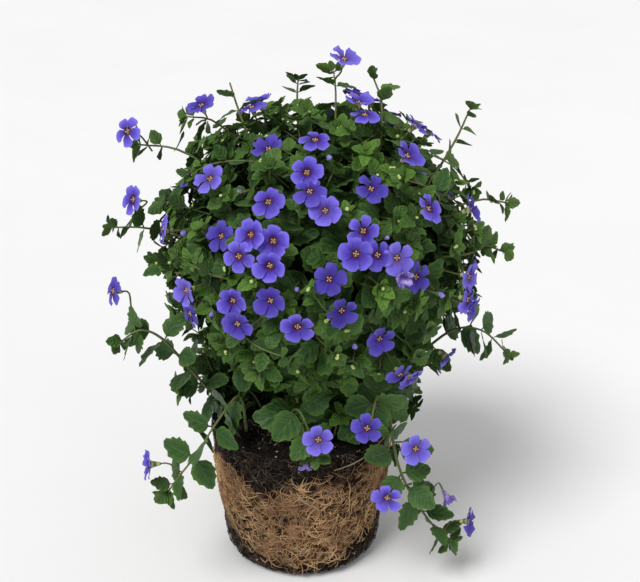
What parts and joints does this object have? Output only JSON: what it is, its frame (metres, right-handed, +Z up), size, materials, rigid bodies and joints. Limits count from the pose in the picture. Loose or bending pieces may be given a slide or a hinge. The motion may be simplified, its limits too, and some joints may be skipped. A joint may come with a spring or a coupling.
{
  "type": "potted bacopa plant",
  "caption": "Bushy trailing bacopa in flower, with toothed leaves and violet five-petalled blooms, growing from a free-standing pot-shaped ball of compost wrapped in roots.",
  "frame": {"origin": "centre of the root ball's flat base", "axes": "+Z up along the root ball, -Y towards the side that shows its best blooms, +X to the right of that side"},
  "size_m": [0.2542, 0.2101, 0.3301],
  "materials": {
    "compost": "matte, moist and crumbly",
    "roots": "matte, fibrous",
    "foliage": "satin, finely hairy",
    "petals": "matte, velvety"
  },
  "bodies": {
    "root": {"compost_plug": "compost", "root_mat": "roots", "clump_front": "foliage", "clump_right": "foliage", "clump_left": "foliage", "shoot_front_left": "foliage", "shoot_front": "foliage", "shoot_front_right": "foliage", "shoot_trailing": "foliage", "shoot_left": "foliage", "shoot_right": "foliage", "shoot_back_left": "foliage", "shoot_back_right": "foliage", "bloom_front_01": "petals", "bloom_front_02": "petals", "bloom_front_03": "petals", "bloom_front_04": "petals", "bloom_front_05": "petals", "bloom_front_06": "petals", "bloom_front_07": "petals", "bloom_front_08": "petals", "bloom_front_09": "petals", "bloom_front_10": "petals", "bloom_front_11": "petals", "bloom_front_12": "petals", "bloom_front_13": "petals", "bloom_front_14": "petals", "bloom_front_15": "petals", "bloom_front_16": "petals", "bloom_front_17": "petals", "bloom_front_18": "petals", "bloom_front_19": "petals", "bloom_front_20": "petals", "bloom_front_21": "petals", "bloom_back_01": "petals", "bloom_back_02": "petals", "bloom_back_03": "petals", "bloom_back_04": "petals", "bloom_back_05": "petals", "bloom_back_06": "petals", "bloom_back_07": "petals", "bloom_back_08": "petals", "bloom_back_09": "petals", "bloom_back_10": "petals", "bloom_back_11": "petals", "bloom_shoot_01": "petals", "bloom_shoot_02": "petals", "bloom_shoot_03": "petals", "bloom_shoot_04": "petals", "bloom_shoot_05": "petals", "bloom_shoot_06": "petals", "bloom_shoot_07": "petals", "bloom_shoot_08": "petals", "bloom_shoot_09": "petals", "bloom_shoot_10": "petals", "bloom_shoot_11": "petals", "bloom_shoot_12": "petals", "bloom_shoot_13": "petals"}
  },
  "joints": []
}
